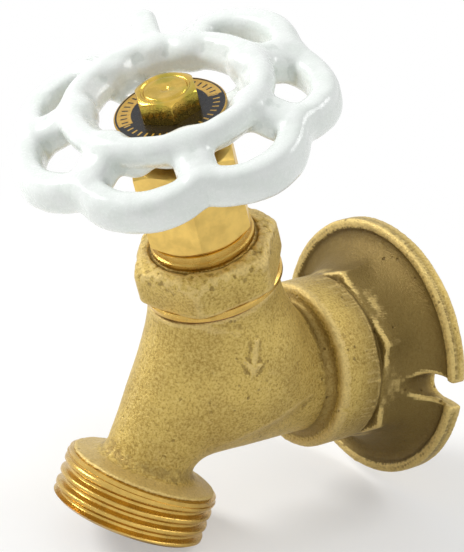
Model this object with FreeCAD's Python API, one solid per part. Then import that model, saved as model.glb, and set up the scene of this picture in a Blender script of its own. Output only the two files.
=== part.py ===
import FreeCAD, Part
import math
import os
from FreeCAD import Vector

# Wall-mounted hose bib (sillcock) with a female pipe inlet, a rising stem and a male hose outlet.
# Frame, in mm: the inlet axis is the Y axis, +Y points into the wall, +Z is up, and the origin is
# the centre of the flange's back face. Every round feature lies on one of three axes in the plane
# x = 0: the inlet axis, the stem axis and the outlet axis.

# ---- driving dimensions: where the three axes lie ----
STEM_TILT = 20.0            # degrees that the stem leans away from the wall
STEM_FOOT = 31.65           # wall face to the point where the stem axis crosses the inlet axis
OUTLET_TILT = 20.0          # degrees that the outlet leans away from the wall
OUTLET_FOOT = 45.9          # wall face to the point where the outlet axis crosses the inlet axis

# ---- flange and inlet ----
FLANGE_RADIUS = 23.2
FLANGE_RIM = 2.2
FLANGE_LIP = 0.6            # raised edge round the front of the flange
LIP_WIDTH = 1.4
SLOT_WIDTH = 4.5            # open slots for the two wall screws
SLOT_INNER = 15.5           # inlet axis to the closed end of a slot
INLET_RADIUS = 12.1         # female pipe thread, at its crests
INLET_DEPTH = 14.0
PASSAGE_RADIUS = 7.5
WRENCH_FLATS = 28.4         # hexagon behind the round collar
WRENCH_LENGTH = 11.0        # wall face to the front of the hexagon
COLLAR_RADIUS = 14.8
COLLAR_LENGTH = 9.0
BARREL_RADIUS = 11.4
GLOBE_RADIUS = 13.2
GLOBE_HEIGHT = 6.0          # centre of the globe, along the stem

# ---- seat, chamber and boss, as distances along the stem from the inlet axis ----
SEAT_HEIGHT = 8.5
SEAT_HOLE_RADIUS = 5.0
SEAT_WALL = 2.2
SOCKET_RADIUS = 9.0         # thread in the body that takes the bonnet
BOSS_WALL = 2.0
BOSS_TOP = 20.9

# ---- outlet, as distances along the outlet from the inlet axis ----
OUTLET_RADIUS = 5.5
PORT_RADIUS = 5.2           # cored port from the chamber down to the drilled outlet
NECK_WALL = 2.25
COLLAR_TOP = 13.0
HOSE_THREAD_START = 13.9
HOSE_THREAD_RADIUS = 13.5   # garden-hose thread, at its crests
HOSE_THREAD_LENGTH = 8.4
HOSE_THREAD_DEPTH = 1.2
MOUTH_RADIUS = 9.3
MOUTH_DEPTH = 6.0

# ---- bonnet ----
GASKET_THICKNESS = 0.6
BONNET_SKIRT_RADIUS = 12.0
BONNET_SKIRT = 1.0
BONNET_FLATS = 22.9
BONNET_HEX = 7.5            # height of the hexagon with its domed top
BONNET_DOME = 2.8
BONNET_TURN = 15.0          # angle of one corner, from +X towards the wall
BONNET_SHANK = 7.0          # threaded length below the gasket face
NECK_RADIUS = 8.7           # polished neck under the packing nut
NECK_LENGTH = 2.5
NUT_THREAD_RADIUS = 7.2
NUT_THREAD_LENGTH = 9.0
BOX_RADIUS = 6.0            # packing box
BOX_FLOOR = 1.5

# ---- packing and its nut ----
PACKING_WASHER = 1.0
PACKING_RING = 2.5
PACKING_RINGS = 3
GLAND_RIM = 1.8
GLAND_RIM_RADIUS = 7.0
NUT_FLATS = 16.8
NUT_LENGTH = 15.5
NUT_CHAMFER = 1.3
NUT_TURN = -33.0

# ---- stem ----
STEM_LEAD = 2.5             # rise for one turn
STEM_TURNS = 2.0
STEM_RADIUS = 4.0
STEM_THREAD_RADIUS = 4.9
WASHER_RADIUS = 6.2
WASHER_THICKNESS = 3.0
WASHER_SCREW_RADIUS = 1.9
WASHER_SCREW_LENGTH = 9.0
WASHER_SCREW_HEAD = 3.5     # radius of its head
WASHER_SCREW_HEAD_HEIGHT = 1.5
CUP_WALL = 0.7
CUP_DEPTH = 1.5
CUP_FLOOR = 1.6
SQUARE = 5.6                # square end that drives the handwheel
SHOULDER_GAP = 1.0          # closed handwheel above the packing nut

# ---- handwheel, disc and screw ----
HUB_RADIUS = 7.6
HUB_LENGTH = 6.4
SPOKES = 3
SPOKE_WIDTH = 5.0
SPOKE_THICKNESS = 3.6
SPOKE_START = 60.0
RIM_THICKNESS = 6.5         # the rim is a dished band with round edges
RIM_INNER = 15.0            # radius of the band's inner edge centre
RIM_INNER_RISE = 2.0        # that centre above the hub's top
RIM_OUTER = 23.8
RIM_OUTER_DROP = 2.1        # the outer edge centre below the hub's top
SECTORS = 7                 # six finger loops and one nub share the circle
NUB_ANGLE = 150.0
LOOP_CENTRE = 18.8
LOOP_RADIUS = 8.6
HOLE_CENTRE = 18.6
HOLE_WIDTH = 6.0
HOLE_LENGTH = 10.0
NUB_REACH = 26.5
NUB_WIDTH = 4.2
NUB_THICKNESS = 3.4
DISC_RADIUS = 9.36
DISC_THICKNESS = 0.6
SCREW_FLATS = 9.525
SCREW_HEAD = 4.1
SCREW_RADIUS = 2.1
SCREW_LENGTH = 9.0
SCREW_TURN = -27.0
SCREW_CHAMFER = 0.8
SCREW_RECESS_RADIUS = 3.6
SCREW_RECESS = 0.4

# ---- clearances ----
RUNNING = 0.06              # radial, a turning shaft in its hole
THREAD_GAP = 0.05           # radial, between mating threads drawn as plain cylinders
SLIP = 0.1                  # radial, a loose piece over its pin or in its recess
FACE_GAP = 0.15             # flat faces that turn against each other
SEAT_GAP = 0.3              # the washer above its seat before it is pressed down
END_GAP = 0.4               # past the end of a piece's travel or thread
CUT = 1.0                   # a cutter runs past the face it opens by this much


class Axis:
    """A line in the plane x = 0. Angles round it start at +X."""

    def __init__(self, foot, tilt, up):
        lean = math.radians(tilt)
        self.base = Vector(0, -foot, 0)
        self.direction = Vector(0, -math.sin(lean), up * math.cos(lean))

    def at(self, along, radius=0.0, angle=0.0):
        turn = math.radians(angle)
        across = self.direction.cross(Vector(1, 0, 0))
        spoke = Vector(1, 0, 0) * math.cos(turn) + across * math.sin(turn)
        return self.base + self.direction * along + spoke * radius


INLET = Axis(0.0, 90.0, 1.0)
STEM = Axis(STEM_FOOT, STEM_TILT, 1.0)
OUTLET = Axis(OUTLET_FOOT, OUTLET_TILT, -1.0)


def outward(shape):
    """The same solid with its faces pointing out."""
    if shape.Volume < 0:
        shape.reverse()
    return shape


def turned(axis, outline):
    """A solid of revolution. A step of four numbers is an arc through its first point."""
    edges = []
    here = axis.at(*outline[0])
    closing = [] if outline[-1][-2:] == outline[0] else outline[:1]
    for step in outline[1:] + closing:
        end = axis.at(*step[-2:])
        if len(step) == 4:
            edges.append(Part.Arc(here, axis.at(*step[:2]), end).toShape())
        else:
            edges.append(Part.makeLine(here, end))
        here = end
    face = Part.Face(Part.Wire(edges))
    return outward(face.revolve(axis.base, axis.direction, 360))


def rod(axis, start, end, radius):
    return Part.makeCylinder(radius, end - start, axis.at(start), axis.direction)


def tube(axis, start, end, outer, inner):
    return rod(axis, start, end, outer).cut(rod(axis, start - CUT, end + CUT, inner))


def prism(axis, start, end, flats, sides, corner):
    """A regular prism with one corner at the given angle."""
    reach = flats / 2 / math.cos(math.pi / sides)
    points = [axis.at(start, reach, corner + 360.0 * i / sides) for i in range(sides)]
    face = Part.Face(Part.makePolygon(points + points[:1]))
    return outward(face.extrude(axis.direction * (end - start)))


def bar(axis, start, end, inner, outer, width, angle):
    """A straight bar that lies radially, with flat ends."""
    across = axis.at(0, width / 2, angle + 90.0) - axis.base
    near = axis.at(start, inner, angle)
    far = axis.at(start, outer, angle)
    corners = [near - across, far - across, far + across, near + across]
    face = Part.Face(Part.makePolygon(corners + corners[:1]))
    return outward(face.extrude(axis.direction * (end - start)))


def merge(shapes):
    return shapes[0].fuse(shapes[1:]).removeSplitter()


# ---- heights along the stem that several pieces share ----
GASKET_TOP = BOSS_TOP + GASKET_THICKNESS
SHANK_END = GASKET_TOP - BONNET_SHANK
HEX_START = GASKET_TOP + BONNET_SKIRT
HEX_END = HEX_START + BONNET_HEX
NECK_END = HEX_END + NECK_LENGTH
NUT_THREAD_END = NECK_END + NUT_THREAD_LENGTH
BOX_START = HEX_END
FLOOR_START = BOX_START - BOX_FLOOR
RISE = STEM_LEAD * STEM_TURNS
WASHER_START = SEAT_HEIGHT + SEAT_GAP
WASHER_END = WASHER_START + WASHER_THICKNESS
CUP_FACE = WASHER_END + FACE_GAP
CUP_TOP = CUP_FACE + CUP_FLOOR
CUP_RADIUS = WASHER_RADIUS + SLIP + CUP_WALL
STEM_THREAD_END = FLOOR_START - RISE - END_GAP
BONNET_THREAD_START = CUP_TOP + RISE + END_GAP
PACKING_START = BOX_START + PACKING_WASHER
PACKING_END = PACKING_START + PACKING_RINGS * PACKING_RING
GLAND_RIM_START = NUT_THREAD_END + END_GAP
GLAND_END = GLAND_RIM_START + GLAND_RIM
NUT_END = NECK_END + NUT_LENGTH
HUB_START = NUT_END + SHOULDER_GAP
HUB_END = HUB_START + HUB_LENGTH
DISC_END = HUB_END + DISC_THICKNESS
SCREW_HOLE_END = DISC_END - SCREW_LENGTH - END_GAP


def flange():
    """The wall flange with its lip, and a concave flare up to the wrench hexagon."""
    front = FLANGE_RIM
    dish = FLANGE_RADIUS - LIP_WIDTH
    flare_end = WRENCH_FLATS / 2
    reach = dish - 1.0 - flare_end
    bend = reach * (1 - math.cos(math.pi / 4))
    outline = [
        (0, 0), (0, FLANGE_RADIUS), (front + FLANGE_LIP, FLANGE_RADIUS),
        (front + FLANGE_LIP, dish), (front, dish - 1.0),
        (front + bend, flare_end + bend, front + reach, flare_end), (front + reach, 0),
    ]
    return turned(INLET, outline)


def wrench_hexagon():
    hexagon = prism(INLET, FLANGE_RIM / 2, WRENCH_LENGTH, WRENCH_FLATS, 6, 30.0)
    corner = WRENCH_FLATS / 2 / math.cos(math.pi / 6)
    chamfer = corner - WRENCH_FLATS / 2
    outline = [
        (0, 0), (0, corner + CUT), (WRENCH_LENGTH - chamfer / 2, corner + CUT),
        (WRENCH_LENGTH - chamfer / 2, corner), (WRENCH_LENGTH, WRENCH_FLATS / 2), (WRENCH_LENGTH, 0),
    ]
    return hexagon.common(turned(INLET, outline))


def slot(side):
    """One open slot, side +1 or -1 along X."""
    closed = side * (SLOT_INNER + SLOT_WIDTH / 2)
    depth = WRENCH_LENGTH
    end = Part.makeCylinder(SLOT_WIDTH / 2, depth, Vector(closed, CUT, 0), Vector(0, -1, 0))
    length = FLANGE_RADIUS + CUT - abs(closed)
    corner = Vector(min(closed, closed + side * length), CUT - depth, -SLOT_WIDTH / 2)
    return end.fuse(Part.makeBox(length, depth, SLOT_WIDTH, corner))


def hose_end():
    """The outlet's neck, its collar and the hose thread at crest size."""
    neck = OUTLET_RADIUS + NECK_WALL
    root = HOSE_THREAD_RADIUS - HOSE_THREAD_DEPTH
    thread_end = HOSE_THREAD_START + HOSE_THREAD_LENGTH
    start = -BOSS_TOP
    outline = [
        (start, 0), (start, neck), (COLLAR_TOP - 1.5, neck),
        (COLLAR_TOP - 0.4, neck + 0.5, COLLAR_TOP, neck + 1.6), (COLLAR_TOP + 0.6, root),
        (HOSE_THREAD_START, HOSE_THREAD_RADIUS - 0.3), (HOSE_THREAD_START, HOSE_THREAD_RADIUS),
        (thread_end - HOSE_THREAD_DEPTH, HOSE_THREAD_RADIUS), (thread_end, root), (thread_end, 0),
    ]
    return turned(OUTLET, outline)


def body():
    collar_end = WRENCH_LENGTH + COLLAR_LENGTH
    soft = 1.0
    collar = turned(INLET, [
        (WRENCH_LENGTH - CUT, 0), (WRENCH_LENGTH - CUT, COLLAR_RADIUS),
        (collar_end - soft, COLLAR_RADIUS),
        (collar_end - soft * 0.3, COLLAR_RADIUS - soft * 0.3, collar_end, COLLAR_RADIUS - soft),
        (collar_end, 0),
    ])
    barrel_end = OUTLET_FOOT - OUTLET_RADIUS - NECK_WALL
    barrel = rod(INLET, WRENCH_LENGTH, barrel_end, BARREL_RADIUS)
    nose = Part.makeSphere(BARREL_RADIUS, INLET.at(barrel_end))
    globe = Part.makeSphere(GLOBE_RADIUS, STEM.at(GLOBE_HEIGHT))
    boss = rod(STEM, 0, BOSS_TOP, SOCKET_RADIUS + BOSS_WALL)
    shell = merge([flange(), wrench_hexagon(), collar, barrel, nose, globe, boss, hose_end()])

    pipe_thread = rod(INLET, -CUT, INLET_DEPTH, INLET_RADIUS)
    passage_end = STEM_FOOT
    passage = rod(INLET, 0, passage_end, PASSAGE_RADIUS)
    passage_nose = Part.makeSphere(PASSAGE_RADIUS, INLET.at(passage_end)).common(
        rod(INLET, 0, passage_end + SEAT_HOLE_RADIUS, PASSAGE_RADIUS))
    seat_hole = rod(STEM, 0, SEAT_HEIGHT + CUT, SEAT_HOLE_RADIUS)
    chamber = rod(STEM, SEAT_HEIGHT, BOSS_TOP + CUT, SOCKET_RADIUS)
    seat_post = rod(STEM, -PASSAGE_RADIUS, SEAT_HEIGHT, SEAT_HOLE_RADIUS + SEAT_WALL)
    thread_end = HOSE_THREAD_START + HOSE_THREAD_LENGTH
    outlet = rod(OUTLET, 0, thread_end + CUT, OUTLET_RADIUS)
    port = rod(OUTLET, -SEAT_HEIGHT - CUT * 2, CUT, PORT_RADIUS).cut(seat_post)
    mouth = turned(OUTLET, [
        (thread_end - MOUTH_DEPTH, 0), (thread_end - MOUTH_DEPTH, OUTLET_RADIUS),
        (thread_end - 2.0, MOUTH_RADIUS), (thread_end + CUT, MOUTH_RADIUS), (thread_end + CUT, 0),
    ])
    above_boss = rod(STEM, BOSS_TOP, NUT_END, BONNET_FLATS)
    cutters = [pipe_thread, passage, passage_nose, seat_hole, chamber, port, outlet, mouth, above_boss]
    cutters += [slot(1), slot(-1)]
    return shell.cut(cutters)


def bonnet_gasket():
    return tube(STEM, BOSS_TOP, GASKET_TOP, SOCKET_RADIUS + BOSS_WALL, SOCKET_RADIUS + THREAD_GAP)


def bonnet():
    corner = BONNET_FLATS / 2 / math.cos(math.pi / 6)
    shoulder = NECK_RADIUS + 0.8
    dome = turned(STEM, [
        (HEX_START, 0), (HEX_START, corner + CUT), (HEX_END - BONNET_DOME, corner + CUT),
        (HEX_END - BONNET_DOME, corner),
        (HEX_END - BONNET_DOME * 0.35, (corner + shoulder) / 2 + 0.5, HEX_END, shoulder),
        (HEX_END, 0),
    ])
    hexagon = prism(STEM, HEX_START, HEX_END, BONNET_FLATS, 6, BONNET_TURN).common(dome)
    skirt = rod(STEM, GASKET_TOP, HEX_START, BONNET_SKIRT_RADIUS)
    shank = rod(STEM, SHANK_END, GASKET_TOP, SOCKET_RADIUS - THREAD_GAP)
    neck = rod(STEM, HEX_END, NECK_END, NECK_RADIUS)
    nut_thread = rod(STEM, NECK_END, NUT_THREAD_END, NUT_THREAD_RADIUS)
    solid = merge([hexagon, skirt, shank, neck, nut_thread])
    return solid.cut([
        rod(STEM, SHANK_END - CUT, BONNET_THREAD_START, CUP_RADIUS + SEAT_GAP),
        rod(STEM, SHANK_END - CUT, FLOOR_START, STEM_THREAD_RADIUS + THREAD_GAP),
        rod(STEM, FLOOR_START - CUT, BOX_START + CUT, STEM_RADIUS + RUNNING),
        rod(STEM, BOX_START, NUT_THREAD_END + CUT, BOX_RADIUS),
    ])


def packing_washer():
    return tube(STEM, BOX_START, PACKING_START, BOX_RADIUS - THREAD_GAP, STEM_RADIUS + RUNNING)


def packing_ring(place):
    start = PACKING_START + place * PACKING_RING
    return tube(STEM, start, start + PACKING_RING, BOX_RADIUS - THREAD_GAP, STEM_RADIUS + RUNNING)


def packing_gland():
    """A sleeve that presses the rings, with a rim that the nut bears on."""
    sleeve = rod(STEM, PACKING_END, GLAND_END, BOX_RADIUS - THREAD_GAP)
    rim = rod(STEM, GLAND_RIM_START, GLAND_END, GLAND_RIM_RADIUS)
    hole = rod(STEM, PACKING_END - CUT, GLAND_END + CUT, STEM_RADIUS + RUNNING)
    return merge([sleeve, rim]).cut(hole)


def packing_nut():
    corner = NUT_FLATS / 2 / math.cos(math.pi / 6)
    face = NUT_FLATS / 2 + 0.15
    chamfer = turned(STEM, [
        (NECK_END, 0), (NECK_END, face), (NECK_END + NUT_CHAMFER, corner),
        (NUT_END - NUT_CHAMFER, corner), (NUT_END, face), (NUT_END, 0),
    ])
    solid = prism(STEM, NECK_END, NUT_END, NUT_FLATS, 6, NUT_TURN).common(chamfer)
    return solid.cut([
        rod(STEM, NECK_END - CUT, GLAND_END, NUT_THREAD_RADIUS + THREAD_GAP),
        rod(STEM, GLAND_END - CUT, NUT_END + CUT, STEM_RADIUS + SLIP),
    ])


def seat_washer():
    return tube(STEM, WASHER_START, WASHER_END, WASHER_RADIUS, WASHER_SCREW_RADIUS + SLIP)


def seat_washer_screw():
    head_end = WASHER_START - FACE_GAP
    head = rod(STEM, head_end - WASHER_SCREW_HEAD_HEIGHT, head_end, WASHER_SCREW_HEAD)
    shank = rod(STEM, head_end, head_end + WASHER_SCREW_LENGTH, WASHER_SCREW_RADIUS)
    slot_depth = WASHER_SCREW_HEAD_HEIGHT / 2
    bottom = head_end - WASHER_SCREW_HEAD_HEIGHT
    driver = bar(STEM, bottom - CUT, bottom + slot_depth, -WASHER_SCREW_HEAD - CUT,
                 WASHER_SCREW_HEAD + CUT, WASHER_SCREW_HEAD_HEIGHT * 0.6, 0.0)
    return merge([head, shank]).cut(driver)


def stem():
    cup = rod(STEM, CUP_FACE - CUP_DEPTH, CUP_TOP, CUP_RADIUS)
    thread = rod(STEM, CUP_TOP, STEM_THREAD_END, STEM_THREAD_RADIUS)
    journal = rod(STEM, STEM_THREAD_END, HUB_START, STEM_RADIUS)
    drive = prism(STEM, HUB_START, HUB_END - END_GAP, SQUARE, 4, 45.0 + SPOKE_START)
    screw_end = WASHER_START - FACE_GAP + WASHER_SCREW_LENGTH + END_GAP
    return merge([cup, thread, journal, drive]).cut([
        rod(STEM, CUP_FACE - CUP_DEPTH - CUT, CUP_FACE, WASHER_RADIUS + SLIP),
        rod(STEM, CUP_FACE - CUT, screw_end, WASHER_SCREW_RADIUS + THREAD_GAP),
        rod(STEM, SCREW_HOLE_END, HUB_END + CUT, SCREW_RADIUS + THREAD_GAP),
    ])


def rim():
    """A dished band with round edges, trimmed to the loops."""
    half = RIM_THICKNESS / 2
    inner = HUB_END + RIM_INNER_RISE
    outer = HUB_END - RIM_OUTER_DROP
    slope = math.atan2(inner - outer, RIM_OUTER - RIM_INNER)
    up = half * math.cos(slope)
    out = half * math.sin(slope)
    band = turned(STEM, [
        (inner + up, RIM_INNER + out), (outer + up, RIM_OUTER + out),
        (outer - out, RIM_OUTER + up, outer - up, RIM_OUTER - out),
        (inner - up, RIM_INNER - out),
        (inner + out, RIM_INNER - up, inner + up, RIM_INNER + out),
    ])
    low = HUB_START - CUT
    high = inner + RIM_THICKNESS
    outline = [rod(STEM, low, high, RIM_INNER + 1.0)]
    holes = []
    for place in range(1, SECTORS):
        angle = NUB_ANGLE + 360.0 * place / SECTORS
        centre = STEM.at(low, LOOP_CENTRE, angle)
        outline.append(Part.makeCylinder(LOOP_RADIUS, high - low, centre, STEM.direction))
        holes.append(finger_hole(low, high, angle))
    return band.common(merge(outline)).cut(holes)


def finger_hole(low, high, angle):
    """A slot with round ends, long across the radius."""
    half = HOLE_WIDTH / 2
    spread = HOLE_LENGTH / 2 - half
    across = STEM.at(0, spread, angle + 90.0) - STEM.base
    middle = bar(STEM, low, high, HOLE_CENTRE - half, HOLE_CENTRE + half, spread * 2, angle)
    centre = STEM.at(low, HOLE_CENTRE, angle)
    depth = high - low
    ends = [Part.makeCylinder(half, depth, centre + across * side, STEM.direction) for side in (1, -1)]
    return middle.fuse(ends)


def handwheel():
    hub = rod(STEM, HUB_START, HUB_END, HUB_RADIUS)
    top = HUB_END - SLIP * 2
    pieces = [rim(), hub]
    for place in range(SPOKES):
        angle = SPOKE_START + 360.0 * place / SPOKES
        pieces.append(bar(STEM, top - SPOKE_THICKNESS, top, 0, RIM_INNER + 1.0, SPOKE_WIDTH, angle))
    nub_low = HUB_END + RIM_INNER_RISE
    nub_end = NUB_REACH - NUB_WIDTH / 2
    nub_high = nub_low + NUB_THICKNESS - SLIP
    pieces.append(bar(STEM, nub_low, nub_high, RIM_INNER, nub_end, NUB_WIDTH, NUB_ANGLE))
    tip = STEM.at(nub_low, nub_end, NUB_ANGLE)
    pieces.append(Part.makeCylinder(NUB_WIDTH / 2, nub_high - nub_low, tip, STEM.direction))
    drive = prism(STEM, HUB_START - CUT, HUB_END + CUT, SQUARE + THREAD_GAP * 2, 4, 45.0 + SPOKE_START)
    return merge(pieces).cut(drive)


def dial_disc():
    return tube(STEM, HUB_END, DISC_END, DISC_RADIUS, SCREW_RADIUS + SLIP)


def handle_screw():
    corner = SCREW_FLATS / 2 / math.cos(math.pi / 6)
    top = DISC_END + SCREW_HEAD
    shape = turned(STEM, [
        (DISC_END, 0), (DISC_END, corner), (top - SCREW_CHAMFER, corner),
        (top, SCREW_FLATS / 2 - 0.3), (top, SCREW_RECESS_RADIUS),
        (top - SCREW_RECESS, SCREW_RECESS_RADIUS - SCREW_RECESS), (top - SCREW_RECESS, 0),
    ])
    head = prism(STEM, DISC_END, top, SCREW_FLATS, 6, SCREW_TURN).common(shape)
    return merge([head, rod(STEM, DISC_END - SCREW_LENGTH, DISC_END, SCREW_RADIUS)])


nodes = {
    "body": body(),
    "bonnet_gasket": bonnet_gasket(),
    "bonnet": bonnet(),
    "packing_washer": packing_washer(),
    "packing_gland": packing_gland(),
    "packing_nut": packing_nut(),
    "seat_washer": seat_washer(),
    "seat_washer_screw": seat_washer_screw(),
    "stem": stem(),
    "handwheel": handwheel(),
    "dial_disc": dial_disc(),
    "handle_screw": handle_screw(),
}
for ring in range(PACKING_RINGS):
    nodes["packing_ring_%d" % (ring + 1)] = packing_ring(ring)

os.makedirs("parts", exist_ok=True)
for name, shape in nodes.items():
    shape.exportStep("parts/%s.step" % name)
    box = shape.BoundBox
    print("%-18s solids %d valid %s volume %9.2f  x %.1f..%.1f  y %.1f..%.1f  z %.1f..%.1f" % (
        name, len(shape.Solids), shape.isValid(), shape.Volume,
        box.XMin, box.XMax, box.YMin, box.YMax, box.ZMin, box.ZMax))
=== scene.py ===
import math

import bpy
import numpy as np
import openvdb as vdb
from mathutils import Matrix, Vector

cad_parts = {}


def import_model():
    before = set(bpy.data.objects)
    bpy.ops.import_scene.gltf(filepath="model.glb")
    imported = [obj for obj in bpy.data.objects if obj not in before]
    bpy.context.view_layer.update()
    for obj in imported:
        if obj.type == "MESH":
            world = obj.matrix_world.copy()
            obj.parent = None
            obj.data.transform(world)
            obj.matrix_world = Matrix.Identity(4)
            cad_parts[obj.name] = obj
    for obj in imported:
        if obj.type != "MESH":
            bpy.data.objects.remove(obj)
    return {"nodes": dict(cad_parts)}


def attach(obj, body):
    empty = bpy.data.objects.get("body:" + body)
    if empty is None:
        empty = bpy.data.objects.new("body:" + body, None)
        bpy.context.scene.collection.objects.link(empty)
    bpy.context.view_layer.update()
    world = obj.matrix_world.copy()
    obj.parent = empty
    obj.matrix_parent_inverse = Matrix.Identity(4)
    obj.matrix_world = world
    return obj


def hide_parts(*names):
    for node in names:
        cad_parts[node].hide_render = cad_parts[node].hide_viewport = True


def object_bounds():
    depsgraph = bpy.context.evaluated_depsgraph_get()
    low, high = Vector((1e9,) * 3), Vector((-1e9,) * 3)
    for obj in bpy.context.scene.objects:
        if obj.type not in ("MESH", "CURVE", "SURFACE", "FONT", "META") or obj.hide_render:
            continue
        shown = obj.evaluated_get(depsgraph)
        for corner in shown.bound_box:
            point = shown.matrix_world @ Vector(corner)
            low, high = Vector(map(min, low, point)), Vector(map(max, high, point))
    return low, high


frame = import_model()
CAD_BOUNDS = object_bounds()

# Lengths in this script are millimetres, in the CAD frame: X right, +Y into the wall, Z up, and the
# origin at the centre of the flange's back face. Meshes are scaled to metres as they are made.
MM = 0.001


class Axis:
    """A line in the plane x = 0 that round features are placed along."""

    def __init__(self, foot, tilt, up):
        lean = math.radians(tilt)
        self.base = np.array([0.0, -foot, 0.0])
        self.direction = np.array([0.0, -math.sin(lean), up * math.cos(lean)])
        self.across = np.array([1.0, 0.0, 0.0])
        self.side = np.cross(self.direction, self.across)

    def local(self, x, y, z):
        """(x, sideways, along) of points in the CAD frame."""
        y = y - self.base[1]
        side = y * self.side[1] + z * self.side[2]
        along = y * self.direction[1] + z * self.direction[2]
        return x, side, along

    def world(self, local):
        """CAD-frame points from an array of (x, sideways, along)."""
        basis = np.array([self.across, self.side, self.direction])
        return self.base + local @ basis


LEAN = 20.0                 # degrees that the stem and the outlet lean away from the wall
INLET = Axis(0.0, 90.0, 1.0)
STEM = Axis(31.65, LEAN, 1.0)
OUTLET = Axis(45.9, LEAN, -1.0)

# ---------------------------------------------------------------- field modelling


def smooth_min(a, b, k):
    """Union of two distance fields with a blend about k wide."""
    h = np.clip(0.5 + 0.5 * (b - a) / k, 0.0, 1.0)
    return b + (a - b) * h - k * h * (1.0 - h)


def smooth_max(a, b, k):
    return -smooth_min(-a, -b, k)


def smooth_step(low, high, value):
    t = np.clip((value - low) / (high - low), 0.0, 1.0)
    return t * t * (3.0 - 2.0 * t)


def span(along, start, end):
    """Distance outside the slab between start and end."""
    return np.abs(along - (start + end) / 2) - (end - start) / 2


def capped(radius_field, along, start, end, k):
    return smooth_max(radius_field, span(along, start, end), k)


def hexagon(a, b, flats, corner, k):
    """Distance to a regular hexagon with one corner at the given angle, edges softened by k."""
    field = None
    for i in range(3):
        turn = math.radians(corner + 30.0 + 60.0 * i)
        face = np.abs(a * math.cos(turn) + b * math.sin(turn)) - flats / 2
        field = face if field is None else smooth_max(field, face, k)
    return field


class Noise:
    """Seeded smooth value noise that repeats every 32 cells."""

    CELLS = 32

    def __init__(self, seed):
        draw = np.random.default_rng(seed)
        self.values = draw.uniform(-1, 1, (self.CELLS,) * 3).astype(np.float32)

    def at(self, points, size):
        """Values for points (n, 3) in mm, with cells of that size."""
        scaled = points / size
        cell = np.floor(scaled).astype(np.int64)
        f = (scaled - cell).astype(np.float32)
        f = f * f * (3.0 - 2.0 * f)
        total = np.zeros(len(points), np.float32)
        for corner in range(8):
            step = np.array([corner & 1, corner >> 1 & 1, corner >> 2 & 1])
            weight = np.prod(np.where(step, f, 1.0 - f), axis=1)
            index = (cell + step) % self.CELLS
            total += weight * self.values[index[:, 0], index[:, 1], index[:, 2]]
        return total


FIELD_LIMIT = 3.0           # distances further from a surface than this are not kept
BEND_REACH = 0.9            # how far apart the points are that "bend" compares


def field_mesh(name, low, high, step, field, relief=None, axis=None):
    """Meshes the zero surface of field(x, y, z) inside a box, after adding relief(points) near the surface.

    The mesh stores "bend" for the materials: 0.5 where it is flat, more on edges and less in hollows.
    """
    counts = [int(math.ceil((b - a) / step)) + 1 for a, b in zip(low, high)]
    ticks = [np.float32(a) + np.arange(n, dtype=np.float32) * np.float32(step) for a, n in zip(low, counts)]
    values = np.empty(counts, np.float32)
    y, z = np.meshgrid(ticks[1], ticks[2], indexing="ij")
    for i, x in enumerate(ticks[0]):
        values[i] = field(np.full_like(y, x), y, z)
    if relief is not None:
        near = np.argwhere(np.abs(values) < 4 * step)
        points = np.array(low) + near * step
        values[tuple(near.T)] -= relief(points)
    bend = laplacian(values, max(1, int(round(BEND_REACH / step)))) / BEND_REACH ** 2
    grid = vdb.FloatGrid(FIELD_LIMIT)
    grid.copyFromArray(np.clip(values, -FIELD_LIMIT, FIELD_LIMIT).astype(np.float32))
    points, quads = grid.convertToQuads(0.0)
    cells = np.clip(np.rint(points).astype(int), 0, np.array(counts) - 1)
    curve = bend[cells[:, 0], cells[:, 1], cells[:, 2]]
    points = np.array(low) + points * step
    if axis is not None:
        points = axis.world(points)
    mesh = quad_mesh(name, points, quads[:, ::-1])
    floats(mesh, "bend", np.clip(0.5 + 0.5 * curve, 0.0, 1.0))
    return mesh


def laplacian(values, reach):
    """How convex (positive) or hollow (negative) the field's surfaces are, measured over that many cells."""
    total = -6.0 * values
    for axis_index in range(3):
        for way in (-reach, reach):
            total = total + np.roll(values, way, axis_index)
    return total


def quad_mesh(name, points, quads):
    mesh = bpy.data.meshes.new(name)
    mesh.vertices.add(len(points))
    mesh.vertices.foreach_set("co", (np.asarray(points, np.float64) * MM).astype(np.float32).ravel())
    mesh.loops.add(quads.size)
    mesh.loops.foreach_set("vertex_index", quads.astype(np.int32).ravel())
    mesh.polygons.add(len(quads))
    mesh.polygons.foreach_set("loop_start", np.arange(0, quads.size, quads.shape[1], dtype=np.int32))
    mesh.update(calc_edges=True)
    mesh.validate()
    mesh.shade_smooth()
    return mesh


def floats(mesh, name, values):
    """Stores one number per vertex for a material to read."""
    layer = mesh.attributes.new(name, "FLOAT", "POINT")
    layer.data.foreach_set("value", np.asarray(values, np.float32))


def piece(name, mesh, body, material, nodes):
    """Puts a mesh on a moving body, in place of the CAD nodes named."""
    obj = bpy.data.objects.new(name, mesh)
    bpy.context.scene.collection.objects.link(obj)
    mesh.materials.append(material)
    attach(obj, body)
    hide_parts(*nodes)


# ---------------------------------------------------------------- turned pieces


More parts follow.
